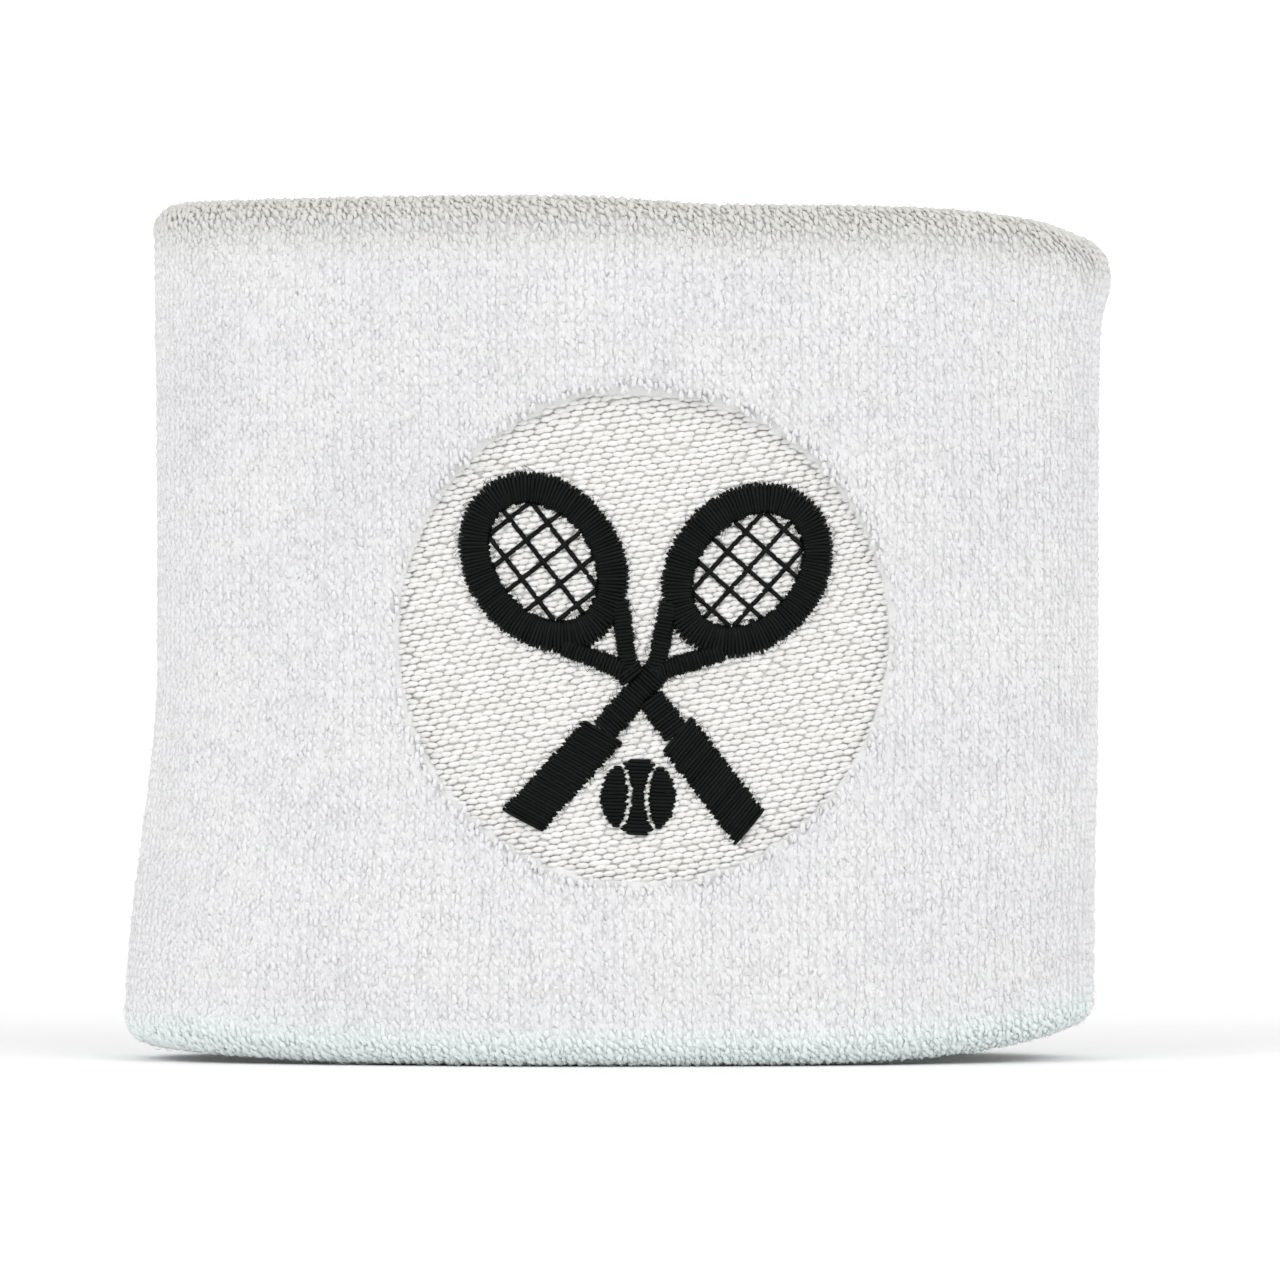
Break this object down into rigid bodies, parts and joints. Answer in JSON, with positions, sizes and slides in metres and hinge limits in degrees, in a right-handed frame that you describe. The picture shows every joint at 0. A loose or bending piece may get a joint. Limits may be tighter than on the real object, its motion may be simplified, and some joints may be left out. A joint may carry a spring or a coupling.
{
  "type": "sweat wristband",
  "caption": "Terry towelling sweat wristband: a tube knitted double, drawn in by elastic threads, with a round stitched emblem on its face.",
  "frame": {"origin": "middle of the base that the relaxed band stands on", "axes": "+Z along the wrist, -Y towards the stitched emblem, +X to the right as the emblem is seen"},
  "size_m": [0.084, 0.03, 0.076],
  "materials": {
    "terry_cotton": "matte",
    "terry_lining": "matte",
    "seam_thread": "matte",
    "elastic_core": "matte",
    "backing_fleece": "matte",
    "bobbin_thread": "satin",
    "cream_thread": "satin",
    "black_thread": "satin"
  },
  "bodies": {
    "root": {"outer_sleeve": "terry_cotton", "upper_turn_in": "terry_lining", "lower_turn_in": "terry_lining", "closing_seam": "seam_thread", "seam_allowance": "seam_thread", "elastic_thread_01": "elastic_core", "elastic_thread_02": "elastic_core", "elastic_thread_03": "elastic_core", "elastic_thread_04": "elastic_core", "elastic_thread_05": "elastic_core", "elastic_thread_06": "elastic_core", "elastic_thread_07": "elastic_core", "elastic_thread_08": "elastic_core", "elastic_thread_09": "elastic_core", "elastic_thread_10": "elastic_core", "embroidery_backing": "backing_fleece", "bobbin_stitching": "bobbin_thread", "underlay_stitching": "cream_thread", "filled_disc": "cream_thread", "left_racket_head": "black_thread", "right_racket_head": "black_thread", "left_racket_strings": "black_thread", "right_racket_strings": "black_thread", "left_racket_shaft": "black_thread", "right_racket_shaft": "black_thread", "left_racket_grip": "black_thread", "right_racket_grip": "black_thread", "stitched_ball": "black_thread"}
  },
  "joints": []
}
